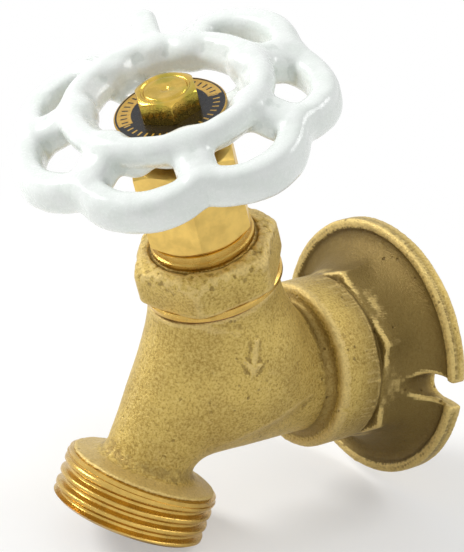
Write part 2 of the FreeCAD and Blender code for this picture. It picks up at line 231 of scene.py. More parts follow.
def swept_mesh(name, axis, rows, columns, radius, along, sharp=35.0):
    """A closed skin of rows round an axis. radius(row, angle) and along(row, angle) give each point."""
    angle = np.linspace(0.0, 2 * math.pi, columns, endpoint=False)
    points = np.zeros((rows, columns, 3))
    for row in range(rows):
        r = radius(row, angle)
        points[row, :, 0] = r * np.cos(angle)
        points[row, :, 1] = r * np.sin(angle)
        points[row, :, 2] = along(row, angle)
    index = np.arange(rows * columns).reshape(rows, columns)
    right = np.roll(index, -1, 1)
    quads = np.stack([index[:-1], right[:-1], right[1:], index[1:]], -1).reshape(-1, 4)
    closing = np.stack([index[-1], right[-1], right[0], index[0]], -1)
    quads = np.concatenate([quads, closing])
    local = points.reshape(-1, 3)
    mesh = quad_mesh(name, axis.world(local), quads[:, ::-1])
    floats(mesh, "local_x", local[:, 0])
    floats(mesh, "local_side", local[:, 1])
    floats(mesh, "local_along", local[:, 2])
    mesh.set_sharp_from_angle(angle=math.radians(sharp))
    return mesh


def fill_outline(outline, gap):
    """Adds points along a closed outline of (along, radius) so that none are further apart than gap."""
    result = []
    for (a, r), (b, s) in zip(outline, outline[1:] + outline[:1]):
        count = max(1, int(math.ceil(math.hypot(b - a, s - r) / gap)))
        for i in range(count):
            t = i / count
            result.append((a + (b - a) * t, r + (s - r) * t))
    return result


def level(rows):
    """An along(row, angle) for swept_mesh that keeps each row square to the axis."""
    return lambda row, angle: np.full_like(angle, rows[row][0])


def turned_mesh(name, axis, outline, columns=256, gap=0.5, hexes=None, sharp=35.0):
    """A turned piece from a closed outline. hexes = (flats, corner, start, end) trims it to a hexagon."""
    rows = fill_outline(outline, gap)

    def radius(row, angle):
        r = np.full_like(angle, rows[row][1])
        if hexes is not None and hexes[2] <= rows[row][0] <= hexes[3]:
            turn = np.mod(angle - math.radians(hexes[1]), math.pi / 3) - math.pi / 6
            flat = hexes[0] / 2 / np.cos(turn)
            r = np.where(r > flat - 1.0, smooth_min(r, flat, 0.12), r)
        return r

    return swept_mesh(name, axis, len(rows), columns, radius, level(rows), sharp)


# ---------------------------------------------------------------- materials


class Shader:
    """A node material on a Principled surface, built by short calls."""

    def __init__(self, name):
        self.material = bpy.data.materials.new(name)
        self.material.use_nodes = True
        self.tree = self.material.node_tree
        self.surface = self.tree.nodes["Principled BSDF"]
        self.place = self.tree.nodes.new("ShaderNodeTexCoord").outputs["Object"]

    def put(self, socket, value):
        """Sets a surface socket to a constant, or links an output to it."""
        target = self.surface.inputs[socket]
        if isinstance(value, bpy.types.NodeSocket):
            self.tree.links.new(value, target)
        else:
            target.default_value = value

    def feed(self, node, socket, value):
        if isinstance(value, bpy.types.NodeSocket):
            self.tree.links.new(value, node.inputs[socket])
        else:
            node.inputs[socket].default_value = value

    def noise(self, size, detail=4.0, rough=0.6, warp=0.0, stretch=None):
        """Noise with features about size mm across."""
        node = self.tree.nodes.new("ShaderNodeTexNoise")
        node.inputs["Scale"].default_value = 1.0 / (size * MM)
        node.inputs["Detail"].default_value = detail
        node.inputs["Roughness"].default_value = rough
        node.inputs["Distortion"].default_value = warp
        self.tree.links.new(self.stretched(stretch), node.inputs["Vector"])
        return node.outputs["Fac"]

    def stretched(self, stretch):
        if stretch is None:
            return self.place
        node = self.tree.nodes.new("ShaderNodeMapping")
        node.inputs["Scale"].default_value = stretch
        self.tree.links.new(self.place, node.inputs["Vector"])
        return node.outputs["Vector"]

    def cells(self, size):
        """Distance to the nearest of scattered points about size mm apart."""
        node = self.tree.nodes.new("ShaderNodeTexVoronoi")
        node.inputs["Scale"].default_value = 1.0 / (size * MM)
        self.tree.links.new(self.place, node.inputs["Vector"])
        return node.outputs["Distance"]

    def coordinate(self, letter):
        node = self.tree.nodes.new("ShaderNodeSeparateXYZ")
        self.tree.links.new(self.place, node.inputs[0])
        return node.outputs[letter]

    def value(self, name):
        """A number stored on the mesh."""
        node = self.tree.nodes.new("ShaderNodeAttribute")
        node.attribute_name = name
        return node.outputs["Fac"]

    def ramp(self, fac, low, high, out_low=0.0, out_high=1.0):
        """A smooth step of fac from low to high, which may run downwards."""
        node = self.tree.nodes.new("ShaderNodeMapRange")
        node.interpolation_type = "SMOOTHSTEP"
        self.feed(node, "Value", fac)
        self.feed(node, "From Min", low)
        self.feed(node, "From Max", high)
        self.feed(node, "To Min", out_low)
        self.feed(node, "To Max", out_high)
        return node.outputs["Result"]

    def math(self, operation, a, b=0.0):
        node = self.tree.nodes.new("ShaderNodeMath")
        node.operation = operation
        self.feed(node, 0, a)
        self.feed(node, 1, b)
        return node.outputs[0]

    def mix(self, fac, a, b):
        """Colour a where fac is 0, b where it is 1."""
        node = self.tree.nodes.new("ShaderNodeMix")
        node.data_type = "RGBA"
        self.feed(node, "Factor", fac)
        self.feed(node, "A", a)
        self.feed(node, "B", b)
        return node.outputs["Result"]

    def bump(self, height, depth, strength=1.0, under=None):
        """A bump of that depth in mm, on top of an earlier one."""
        node = self.tree.nodes.new("ShaderNodeBump")
        node.inputs["Strength"].default_value = strength
        node.inputs["Distance"].default_value = depth * MM
        self.feed(node, "Height", height)
        if under is not None:
            self.feed(node, "Normal", under)
        return node.outputs["Normal"]


def colour(red, green, blue):
    """An sRGB colour given as 0 to 255, as linear RGBA."""
    linear = []
    for part in (red, green, blue):
        c = part / 255.0
        linear.append(c / 12.92 if c <= 0.04045 else ((c + 0.055) / 1.055) ** 2.4)
    return (*linear, 1.0)


def cast_brass():
    """Sand-cast skin: granular, olive gold, with painted shade in hollows and in the flange's bowl, darker
    pores, brighter on rubbed edges.
    """
    s = Shader("cast brass")
    grain = s.noise(0.42, 3.0, 0.7)
    fine = s.noise(0.16, 2.0, 0.6)
    cloud = s.noise(7.0, 3.0, 0.55)
    pores = s.cells(1.7)
    bend = s.value("bend")
    base = s.mix(s.ramp(cloud, 0.3, 0.7), colour(176, 148, 74), colour(198, 170, 90))
    base = s.mix(s.ramp(grain, 0.42, 0.68, 0.0, 0.45), base, colour(226, 204, 130))
    base = s.mix(s.ramp(grain, 0.50, 0.30, 0.0, 0.60), base, colour(122, 98, 40))
    # Painted shade: hollows are darkened to a brown.
    hollow = s.ramp(bend, 0.47, 0.27)
    base = s.mix(s.math("MULTIPLY", hollow, 0.6), base, colour(112, 88, 40))
    edge = s.ramp(bend, 0.56, 0.80)
    base = s.mix(s.math("MULTIPLY", edge, 0.35), base, colour(224, 200, 140))
    # Painted shade: the skin is darkened to a dull brown in the flange's bowl, but not on its edges or its
    # back.
    y = s.coordinate("Y")
    shade = s.math("MULTIPLY", s.ramp(y, -19.0 * MM, -8.0 * MM), s.ramp(bend, 0.95, 0.66))
    shade = s.math("MULTIPLY", shade, s.ramp(y, -0.8 * MM, -2.5 * MM))
    base = s.mix(s.math("MULTIPLY", shade, 0.88), base, colour(104, 84, 38))
    pit = s.math("MULTIPLY", s.ramp(pores, 0.22, 0.06), s.ramp(s.noise(3.2, 2.0), 0.52, 0.62))
    base = s.mix(s.math("MULTIPLY", pit, 0.5), base, colour(86, 62, 26))
    s.put("Base Color", base)
    s.put("Metallic", 0.62)
    s.put("Roughness", s.ramp(fine, 0.3, 0.75, 0.36, 0.60))
    height = s.math("ADD", s.math("MULTIPLY", grain, 1.0), s.math("MULTIPLY", fine, 0.5))
    normal = s.bump(height, 0.16, 0.9)
    normal = s.bump(s.math("MULTIPLY", pit, -1.0), 0.2, 1.0, normal)
    s.put("Normal", normal)
    return s.material


def turned_brass(name, tint, rough, line=0.05):
    """Lathe-cut brass: fine tool lines round the axis and small scratches."""
    s = Shader(name)
    tool = s.noise(0.10, 2.0, 0.5, 0.0, (0.12, 1.0, 1.0))
    cloud = s.noise(3.5, 3.0, 0.6)
    speck = s.noise(0.5, 4.0, 0.7)
    deep = tuple(c * 0.80 for c in tint[:3]) + (1.0,)
    base = s.mix(s.ramp(cloud, 0.3, 0.7), tint, deep)
    base = s.mix(s.ramp(speck, 0.62, 0.78, 0.0, 0.35), base, colour(150, 104, 40))
    s.put("Base Color", base)
    s.put("Metallic", 1.0)
    s.put("Roughness", s.ramp(cloud, 0.25, 0.75, rough * 0.8, rough * 1.3))
    s.put("Normal", s.bump(s.math("ADD", tool, s.math("MULTIPLY", speck, 0.4)), line, 0.6))
    return s.material


def enamel():
    """Thick white gloss paint over a casting: slight sag waves, painted shade in hollows, a few dull marks.
    """
    s = Shader("white enamel")
    wave = s.noise(3.0, 2.0, 0.45)
    fine = s.noise(0.6, 3.0, 0.6)
    bend = s.value("bend")
    base = s.mix(s.ramp(wave, 0.3, 0.7), colour(226, 232, 227), colour(232, 236, 233))
    # Painted shade: hollows are greyed.
    base = s.mix(s.ramp(bend, 0.46, 0.30, 0.0, 0.5), base, colour(196, 204, 198))
    spots = s.ramp(s.noise(1.2, 3.0, 0.65), 0.66, 0.74)
    mark = s.math("MULTIPLY", spots, s.ramp(s.noise(6.0, 1.0), 0.52, 0.64))
    base = s.mix(s.math("MULTIPLY", mark, 0.35), base, colour(178, 184, 178))
    s.put("Base Color", base)
    s.put("Roughness", s.ramp(fine, 0.3, 0.7, 0.18, 0.32))
    s.put("Coat Weight", 0.3)
    s.put("Coat Roughness", 0.12)
    s.put("Normal", s.bump(s.math("ADD", wave, s.math("MULTIPLY", fine, 0.15)), 0.28, 0.5))
    return s.material


def plated():
    """Bright yellow plating over a pressed hexagon head, with wrench rubs."""
    s = Shader("yellow plating")
    cloud = s.noise(2.6, 2.0, 0.55)
    rub = s.noise(0.35, 3.0, 0.6, 0.3)
    base = s.mix(s.ramp(cloud, 0.3, 0.7), colour(214, 178, 84), colour(190, 160, 70))
    base = s.mix(s.ramp(s.noise(4.0, 1.0), 0.52, 0.66, 0.0, 0.35), base, colour(128, 150, 60))
    s.put("Base Color", base)
    s.put("Metallic", 1.0)
    s.put("Roughness", s.ramp(rub, 0.3, 0.75, 0.10, 0.30))
    s.put("Normal", s.bump(s.math("ADD", cloud, s.math("MULTIPLY", rub, 0.5)), 0.10, 0.5))
    return s.material


DIAL_TICKS = 40.0


def dial_print():
    """Printed disc: half gold, half black, a black centre, and plain tick marks."""
    s = Shader("dial print")
    x = s.value("local_x")
    side = s.value("local_side")
    radius = s.math("SQRT", s.math("ADD", s.math("MULTIPLY", x, x), s.math("MULTIPLY", side, side)))
    turn = s.math("DIVIDE", s.math("ARCTAN2", side, x), 2 * math.pi)
    ticks = s.math("MULTIPLY", turn, DIAL_TICKS)
    gold = s.mix(s.ramp(s.noise(0.5, 3.0), 0.3, 0.7), colour(204, 166, 78), colour(184, 144, 62))
    black = s.mix(s.ramp(s.noise(0.4, 3.0), 0.3, 0.7), colour(16, 15, 20), colour(30, 28, 32))
    cut = s.math("ADD", x, s.math("MULTIPLY", side, -0.35))
    right = s.ramp(cut, 0.3, 0.5)
    saw = s.math("ABSOLUTE", s.math("SUBTRACT", s.math("FRACT", ticks), 0.5))
    band = s.math("MULTIPLY", s.ramp(radius, 7.0, 7.15), s.ramp(radius, 8.25, 8.1))
    tick = s.math("MULTIPLY", band, s.ramp(saw, 0.16, 0.11))
    field = s.mix(right, gold, black)
    ink = s.mix(right, black, gold)
    face = s.mix(tick, field, ink)
    face = s.mix(s.ramp(radius, 6.55, 6.4), face, black)
    face = s.mix(s.ramp(radius, 8.75, 8.85), face, black)
    face = s.mix(s.ramp(radius, 9.05, 9.15), face, gold)
    s.put("Base Color", face)
    s.put("Metallic", 0.35)
    s.put("Roughness", s.ramp(s.noise(1.0, 3.0), 0.3, 0.7, 0.22, 0.38))
    s.put("Normal", s.bump(s.noise(2.0, 2.0), 0.05, 0.4))
    return s.material


def soft_part(name, dark, light, size, rough, depth):
    """Rubber, fibre or graphite: speckled, dull and slightly uneven."""
    s = Shader(name)
    speck = s.noise(size, 4.0, 0.65)
    s.put("Base Color", s.mix(s.ramp(speck, 0.3, 0.7), dark, light))
    s.put("Roughness", s.ramp(speck, 0.3, 0.7, rough - 0.1, rough + 0.1))
    s.put("Normal", s.bump(speck, depth, 0.6))
    return s.material


# ---------------------------------------------------------------- body

HEX_FLATS = 28.4
HEX_LENGTH = 11.0
HEX_ROUND = 16.1            # radius that the hexagon's corners are cut back to
SHANK_RADIUS = 13.9         # round stretch behind and in front of the hexagon
SHANK_END = 18.0
FLANGE_RADIUS = 23.1
FLANGE_THICK = 2.1
BOWL_EDGE = 20.6            # the flange is flat outside this radius and rises inwards from it
BOWL_RUN = 5.8
BOWL_RISE = 6.8
BOWL_POWER = 2.1
RIM_RISE = 0.75
RIM_START = 21.9
COLLAR_RADIUS = 14.7
COLLAR_END = 20.0
COLLAR_GAP = 0.35           # width of the groove between hexagon and collar
BARREL_RADIUS = 11.3
BARREL_START = 12.0
BARREL_END = 38.0
GLOBE_OUT = 34.2            # from the wall to the globe's centre
GLOBE_UP = 5.4
GLOBE_RADIUS = 13.1
BOSS_RADIUS = 11.0
BOSS_TOP = 20.9
NECK_RADIUS = 7.7
LIP_RADIUS = 12.75          # cast collar above the hose thread
PASSAGE_RADIUS = 7.5
PASSAGE_END = 33.0
CHAMBER_RADIUS = 9.0
CHAMBER_FLOOR = 8.5         # top of the seat post, along the stem
POST_RADIUS = 7.2
SEAT_RADIUS = 5.0
END_RADIUS = 11.0           # hole in the cast collar, filled by the turned hose end
END_START = 13.6
SLOT_HALF = 2.25
SLOT_INNER = 17.75          # inlet axis to the centre of a slot's round end
INLET_ROOT = 13.1
INLET_DEPTH = 14.0
BORE_RADIUS = 5.5
ARROW_RISE = 0.32
SEAM_RISE = 0.07            # mould seam in the plane x = 0
SEAM_WIDE = 0.35
THREAD_START = 13.75        # where the cast collar ends and the turned hose end begins
THREAD_END = 22.3


def flange_field(u, rho, x, z):
    """The dished wall flange with a raised rim, and its two open slots."""
    fall = np.clip((BOWL_EDGE - rho) / BOWL_RUN, 0.0, 1.0)
    front = FLANGE_THICK + BOWL_RISE * fall ** BOWL_POWER + RIM_RISE * smooth_step(BOWL_EDGE, RIM_START, rho)
    slope = BOWL_POWER * BOWL_RISE / BOWL_RUN * fall ** (BOWL_POWER - 1.0)
    plate = (u - front) / np.sqrt(1.0 + slope * slope)
    plate = smooth_max(plate, rho - FLANGE_RADIUS, 0.7)
    plate = smooth_max(plate, -u, 0.3)
    slot = np.hypot(np.maximum(SLOT_INNER - np.abs(x), 0.0), z) - SLOT_HALF
    return smooth_max(plate, -slot, 0.5)


def body_field(x, y, z):
    """The cast body. u is the distance from the wall; the stem and the outlet have their own axes."""
    u = -y
    rho = np.hypot(x, z)
    sx, st, sh = STEM.local(x, y, z)
    stem_r = np.hypot(sx, st)
    ox, ot, od = OUTLET.local(x, y, z)
    out_r = np.hypot(ox, ot)

    wrench = smooth_max(hexagon(x, z, HEX_FLATS, 30.0, 0.5), rho - HEX_ROUND, 0.5)
    wrench = capped(wrench, u, 1.0, HEX_LENGTH, 0.5)
    inlet = smooth_min(flange_field(u, rho, x, z), wrench, 1.6)
    inlet = smooth_min(inlet, capped(rho - SHANK_RADIUS, u, 3.0, SHANK_END, 0.3), 0.3)
    collar = capped(rho - COLLAR_RADIUS, u, HEX_LENGTH + COLLAR_GAP, COLLAR_END, 1.1)
    inlet = smooth_min(inlet, collar, 0.25)

    run = np.clip(u, BARREL_START, BARREL_END)
    barrel = np.hypot(rho, u - run) - BARREL_RADIUS
    globe = np.sqrt(x * x + (y + GLOBE_OUT) ** 2 + (z - GLOBE_UP) ** 2) - GLOBE_RADIUS
    boss = capped(stem_r - BOSS_RADIUS, sh, 0.0, BOSS_TOP + 2.0, 0.3)
    main = smooth_min(barrel, globe, 3.5)
    main = smooth_min(main, boss, 4.0)
    neck = capped(out_r - NECK_RADIUS, od, -13.0, THREAD_START, 0.3)
    main = smooth_min(main, neck, 4.5)
    top = 12.35 + 0.2 * (out_r - 8.0)
    lip = smooth_max((top - od) / 1.02, out_r - LIP_RADIUS, 0.6)
    lip = smooth_max(lip, od - THREAD_START - 0.1, 0.15)
    main = smooth_min(main, lip, 2.2)
    whole = smooth_min(inlet, main, 1.6)
    whole = np.where(stem_r < 18.0, smooth_max(whole, sh - BOSS_TOP, 0.2), whole)

    seam = np.exp(-((x / SEAM_WIDE) ** 2))
    whole = whole - ARROW_RISE * flow_arrow(x, st, sh) - SEAM_RISE * seam

    pocket = capped(rho - INLET_ROOT, u, -1.0, INLET_DEPTH, 0.1)
    passage = capped(rho - PASSAGE_RADIUS, u, -1.0, PASSAGE_END, 0.1)
    chamber = capped(stem_r - CHAMBER_RADIUS, sh, CHAMBER_FLOOR, BOSS_TOP + 1.0, 0.1)
    seat = capped(stem_r - SEAT_RADIUS, sh, 0.0, CHAMBER_FLOOR + 0.5, 0.1)
    post = capped(stem_r - POST_RADIUS, sh, -8.0, CHAMBER_FLOOR, 0.1)
    bore = np.maximum(capped(out_r - BORE_RADIUS, od, -19.0, THREAD_END, 0.1), -post)
    end = capped(out_r - END_RADIUS, od, END_START, THREAD_END + 2.0, 0.1)
    hollow = np.minimum.reduce([pocket, passage, chamber, seat, bore, end])
    return np.maximum(whole, -hollow)


def flow_arrow(x, side, along):
    """A raised arrow on the right of the boss that points down the outlet."""
    a = side + 2.6
    b = along - 12.6
    turn = math.radians(-28.0)
    across = a * math.cos(turn) + b * math.sin(turn)
    down = a * math.sin(turn) - b * math.cos(turn)
    shaft = np.maximum(np.abs(across) - 0.42, np.abs(down + 0.6) - 2.2)
    head = np.maximum(np.abs(across) * 0.85 + down * 0.55 - 1.95, 1.2 - down)
    mark = np.minimum(shaft, head)
    return smooth_step(0.30, -0.25, mark) * (x > 4.0)


coarse_noise = Noise(11)
middle_noise = Noise(12)
fine_noise = Noise(13)


def cast_relief(points):
    """Low waves, grain and a few sunk patches of a sand casting."""
    wave = 0.09 * coarse_noise.at(points, 6.5)
    lumps = 0.022 * middle_noise.at(points, 1.9)
    grain = 0.024 * fine_noise.at(points, 0.75)
    patch = coarse_noise.at(points + 40.0, 4.2)
    sunk = -0.16 * smooth_step(0.50, 0.80, patch) * np.maximum(middle_noise.at(points + 9.0, 1.1), 0.0)
    return (wave + lumps + grain + sunk).astype(np.float32)


# ---------------------------------------------------------------- bonnet

BONNET_FLATS = 22.9
BONNET_CORNER = 15.0
BONNET_ROUND = 13.05        # radius that the hexagon's corners are cut back to
SKIRT_TOP = 22.5
DOME_TOP = 30.0
DOME_START = 9.3            # the top is flat inside this radius and falls away outside it
DOME_FALL = 0.13
NECK_GROOVE = 8.9           # radius of the groove round the turned neck
NECK_HOLE = 8.2


def bonnet_field(a, b, along):
    r = np.hypot(a, b)
    outside = np.maximum(r - DOME_START, 0.0)
    top = DOME_TOP - DOME_FALL * outside ** 2
    cap = (along - top) / np.sqrt(1.0 + (2.0 * DOME_FALL * outside) ** 2)
    hexes = smooth_max(hexagon(a, b, BONNET_FLATS, BONNET_CORNER, 0.5), r - BONNET_ROUND, 0.5)
    solid = smooth_max(hexes, cap, 0.7)
    foot = SKIRT_TOP - along + 0.35 * np.maximum(r - 11.6, 0.0)
    solid = smooth_max(solid, foot, 0.4)
    groove = np.hypot(r - NECK_GROOVE, along - DOME_TOP) - 0.5
    solid = smooth_max(solid, -groove, 0.3)
    return np.maximum(solid, NECK_HOLE - r)


def bonnet_relief(points):
    """The same skin as the body, with coarse dark pores on the domed top."""
    top = smooth_step(26.0, 28.5, points[:, 2])
    pores = np.maximum(fine_noise.at(points + 5.0, 0.7), 0.0) + np.maximum(middle_noise.at(points, 0.9), 0.0)
    return (cast_relief(points) - 0.16 * top * pores).astype(np.float32)


# ---------------------------------------------------------------- handwheel

SECTOR = 2 * math.pi / 7
NUB_ANGLE = math.radians(152.5)
LOOP_SHIFT = math.radians(3.5)
HIGH_ANGLE = NUB_ANGLE + LOOP_SHIFT - SECTOR    # the loop that stands higher than the others
HIGH_LIFT = 3.0
HIGH_SPREAD = 0.47          # radians over which its lift fades
RING_RADIUS = 15.0
RING_RISE = 57.3
DISH = math.tan(math.radians(22.5))
RIB_END = 21.8
ARC_TOP = 24.9
LOOP_WIDE = 2.55            # half widths and half heights of the tubes
LOOP_HIGH = 3.25
RIB_WIDE = 3.3
RIB_HIGH = 3.05
TUBE_POWER = 2.7            # 2 makes a tube an ellipse, more makes it squarer
RING_FOOT = np.array([14.1, 56.9])      # radius and height of the inner ring's lower and upper middle
RING_CREST = np.array([15.5, 58.3])
RING_TUBE = 2.25
NUB_LENGTH = 9.0
NUB_HEIGHT = 58.1
NUB_LIFT = 0.7
NUB_TUBE = 2.2
SPOKE_START = 4.0
SPOKE_LENGTH = 10.5
SPOKE_HEIGHT = 52.8
SPOKE_LIFT = 2.2
SPOKE_TUBE = 2.0
HUB_RADIUS = 7.5
HUB_START = 49.05
HUB_END = 55.3
SQUARE_HALF = 2.85          # half the square hole for the stem's end
SQUARE_TURN = math.radians(60.0)


def arc_of_loop():
    """(centre radius, arc radius) of the curve through two rib ends and the loop's top."""
    half = RIB_END * math.sin(SECTOR / 2)
    rise = ARC_TOP - RIB_END * math.cos(SECTOR / 2)
    arc = (half * half + rise * rise) / (2 * rise)
    return ARC_TOP - arc, arc


def wheel_field(a, b, along):
    """A dished wheel: six loops, an inner ring, a nub, three spokes and a hub."""
    r = np.hypot(a, b)
    angle = np.arctan2(b, a) - NUB_ANGLE
    sector = np.round((angle - LOOP_SHIFT) / SECTOR)
    local = angle - LOOP_SHIFT - sector * SECTOR
    sector = np.mod(sector, 7)
    turn = np.abs(np.mod(angle + NUB_ANGLE - HIGH_ANGLE + math.pi, 2 * math.pi) - math.pi)
    raised = HIGH_LIFT * np.exp(-(turn / HIGH_SPREAD) ** 4)

    def lift(radius):
        out = radius - RING_RADIUS
        return along - RING_RISE + DISH * out - raised * out / (ARC_TOP - RING_RADIUS)

    def tube(line, height, wide, high):
        square = (np.abs(line) / wide) ** TUBE_POWER + (np.abs(height) / high) ** TUBE_POWER
        return square ** (1 / TUBE_POWER) * wide - wide

    # The ribs lie half way between the loops' centres.
    off = np.abs(np.abs(local) - SECTOR / 2)
    rib_along = r * np.cos(off)
    beyond = np.maximum(rib_along - RIB_END, 0.0) + np.maximum(RING_RADIUS - rib_along, 0.0)
    rib = np.hypot(r * np.sin(off), beyond)
    rib = tube(rib, lift(np.clip(rib_along, RING_RADIUS, RIB_END)), RIB_WIDE, RIB_HIGH)

    # Each loop's arc, from one rib's end to the next. There is none where the nub stands.
    centre, arc = arc_of_loop()
    la = r * np.cos(local) - centre
    lb = r * np.sin(local)
    reach = np.hypot(la, lb) + 1e-9
    near_a = centre + la * arc / reach
    near_b = lb * arc / reach
    end_a = RIB_END * math.cos(SECTOR / 2)
    end_b = RIB_END * math.sin(SECTOR / 2)
    past = np.abs(np.arctan2(lb, la)) > math.atan2(end_b, end_a - centre)
    near_a = np.where(past, end_a, near_a)
    near_b = np.where(past, np.sign(lb) * end_b, near_b)
    line = np.hypot(la + centre - near_a, lb - near_b)
    band = tube(line, lift(np.hypot(near_a, near_b)), LOOP_WIDE, LOOP_HIGH)
    band = np.where(sector == 0, 99.0, band)
    loops = smooth_min(rib, band, 0.9)

    # The inner ring leans: its crest stands out from its foot.
    way = RING_CREST - RING_FOOT
    from_r = r - RING_FOOT[0]
    from_along = along - RING_FOOT[1]
    t = np.clip((from_r * way[0] + from_along * way[1]) / (way @ way), 0.0, 1.0)
    ring = np.hypot(from_r - way[0] * t, from_along - way[1] * t) - RING_TUBE
    wheel = smooth_min(loops, ring, 1.3)

    nub_a = r * np.cos(angle)
    nub_b = r * np.sin(angle)
    t = np.clip((nub_a - RING_RADIUS) / NUB_LENGTH, 0.0, 1.0)
    nub_line = np.hypot(nub_a - RING_RADIUS - NUB_LENGTH * t, nub_b)
    nub_lift = np.abs(along - NUB_HEIGHT - NUB_LIFT * t)
    nub = (nub_line ** 3 + nub_lift ** 3) ** (1 / 3) - NUB_TUBE
    wheel = smooth_min(wheel, nub, 1.3)

    for spoke in range(3):
        turn = math.radians(60.0 + 120.0 * spoke)
        out = a * math.cos(turn) + b * math.sin(turn)
        aside = -a * math.sin(turn) + b * math.cos(turn)
        t = np.clip((out - SPOKE_START) / SPOKE_LENGTH, 0.0, 1.0)
        past_end = out - SPOKE_START - SPOKE_LENGTH * t
        height = along - SPOKE_HEIGHT - SPOKE_LIFT * t
        beam = np.sqrt(past_end ** 2 + (aside * 0.78) ** 2 + height ** 2) - SPOKE_TUBE
        wheel = smooth_min(wheel, beam, 1.6)

    hub = capped(r - HUB_RADIUS, along, HUB_START, HUB_END, 0.8)
    wheel = smooth_min(wheel, hub, 1.3)
    wide = np.abs(a * math.cos(SQUARE_TURN) + b * math.sin(SQUARE_TURN))
    deep = np.abs(b * math.cos(SQUARE_TURN) - a * math.sin(SQUARE_TURN))
    return np.maximum(wheel, SQUARE_HALF - np.maximum(wide, deep))


def paint_relief(points):
    """The waves of a casting under thick paint."""
    wave = 0.13 * coarse_noise.at(points, 5.0)
    return (wave + 0.06 * middle_noise.at(points, 2.1)).astype(np.float32)


# ---------------------------------------------------------------- threads

PITCH = 2.209
HOSE_CREST = 13.42
HOSE_ROOT = 12.3
PIPE_CREST = 12.05
PIPE_ROOT = 13.05
THREAD_GAP = 0.11           # between rows
THREAD_COLUMNS = 288


def thread_radius(phase, crest, root):
    """A 60-degree thread's radius at a phase of 0 to 1, with its crest in the middle."""
    edge = np.abs(phase - 0.5) * 2.0
    return root + (crest - root) * (1.0 - smooth_step(0.16, 0.84, edge))


def threaded_mesh(name, axis, outline, crest, root, start, end, first):
    """A turned piece whose crest-size stretch from start to end carries a thread.

    first is the place along the axis where a crest crosses the angle zero.
    """
    rows = fill_outline(outline, THREAD_GAP)

    def radius(row, angle):
        along, r = rows[row]
        if abs(r - crest) > 0.02 or not start <= along <= end:
            return np.full_like(angle, r)
        phase = np.mod((along - first) / PITCH - angle / (2 * math.pi) + 0.5, 1.0)
        cut = thread_radius(phase, crest, root)
        fade = min(smooth_step(start, start + 0.8, along), smooth_step(end, end - 0.3, along))
        return r + (cut - crest) * fade

    return swept_mesh(name, axis, len(rows), THREAD_COLUMNS, radius, level(rows), 50.0)


# ---------------------------------------------------------------- pieces

CAST = cast_brass()
TURNED = turned_brass("turned brass", colour(208, 172, 92), 0.24)
SATIN = turned_brass("satin brass", colour(236, 200, 112), 0.36, 0.03)
DARK = turned_brass("stem brass", colour(190, 152, 84), 0.34)
WHITE = enamel()
PLATED = plated()
DIAL = dial_print()
RUBBER = soft_part("rubber", colour(18, 18, 19), colour(40, 40, 41), 0.5, 0.7, 0.05)
FIBRE = soft_part("red fibre", colour(92, 32, 24), colour(132, 52, 36), 0.4, 0.75, 0.08)
GRAPHITE = soft_part("graphite cord", colour(30, 30, 32), colour(66, 66, 70), 0.35, 0.55, 0.12)

body_mesh = field_mesh("cast_body", (-24.2, -62.6, -24.2), (24.2, 0.6, 24.2), 0.30, body_field, cast_relief)
piece("cast_body", body_mesh, "valve", CAST, ["body"])

hose_outline = [
    (THREAD_START - 0.3, BORE_RADIUS), (THREAD_START - 0.3, 11.6), (THREAD_START + 0.05, 12.6),
    (THREAD_START + 0.2, 13.2), (THREAD_START + 0.9, 13.2), (THREAD_START + 1.0, HOSE_CREST),
    (THREAD_END - 0.55, HOSE_CREST), (THREAD_END, 12.6), (THREAD_END, 9.3), (THREAD_END - 2.0, 9.2),
    (THREAD_END - 6.0, BORE_RADIUS),
]
hose_mesh = threaded_mesh("hose_thread", OUTLET, hose_outline, HOSE_CREST, HOSE_ROOT,
                          THREAD_START + 1.0, THREAD_END - 0.5, 15.06)
piece("hose_thread", hose_mesh, "valve", TURNED, ["body"])

inlet_outline = [
    (0.02, 13.6), (0.02, 12.9), (1.0, PIPE_CREST), (INLET_DEPTH - 0.4, PIPE_CREST), (INLET_DEPTH - 0.4, 7.4),
    (INLET_DEPTH + 0.2, 7.4), (INLET_DEPTH + 0.2, 13.6),
]
inlet_mesh = threaded_mesh("inlet_thread", INLET, inlet_outline, PIPE_CREST, PIPE_ROOT, 1.0, 12.5, 1.0)
piece("inlet_thread", inlet_mesh, "valve", TURNED, ["body"])

bonnet_mesh = field_mesh("bonnet_casting", (-14.2, -14.2, 21.8), (14.2, 14.2, 30.8), 0.2, bonnet_field,
                         bonnet_relief, STEM)
piece("bonnet_casting", bonnet_mesh, "valve", CAST, ["bonnet"])

bonnet_outline = [
    (21.5, 8.3), (21.5, 11.7), (21.7, 11.95), (22.35, 11.95), (22.7, 11.6), (22.7, 8.6), (29.6, 8.6),
    (30.1, 8.85), (30.9, 8.85), (31.1, 8.55), (32.3, 8.55), (32.45, 8.2), (32.45, 6.1), (31.6, 6.1),
]
bonnet_turned = turned_mesh("bonnet_turned", STEM, bonnet_outline, 256, 0.3)
piece("bonnet_turned", bonnet_turned, "valve", TURNED, ["bonnet"])

NUT_FLATS = 16.8
NUT_CORNER = -33.0
nut_outline = [
    (32.5, 7.3), (32.5, 8.3), (32.75, 8.5), (33.75, 9.75), (46.9, 9.75), (47.75, 8.75), (48.0, 8.45),
    (48.0, 4.5), (47.6, 4.1), (43.8, 4.1), (43.8, 7.3),
]
nut_mesh = turned_mesh("packing_nut_body", STEM, nut_outline, 480, 0.16,
                       (NUT_FLATS, NUT_CORNER, 32.5, 48.0), 40.0)
piece("packing_nut_body", nut_mesh, "valve", SATIN, ["packing_nut"])

wheel_mesh = field_mesh("painted_handwheel", (-29.0, -29.0, 47.6), (29.0, 29.0, 62.0), 0.25, wheel_field,
                        paint_relief, STEM)
piece("painted_handwheel", wheel_mesh, "spindle", WHITE, ["handwheel"])

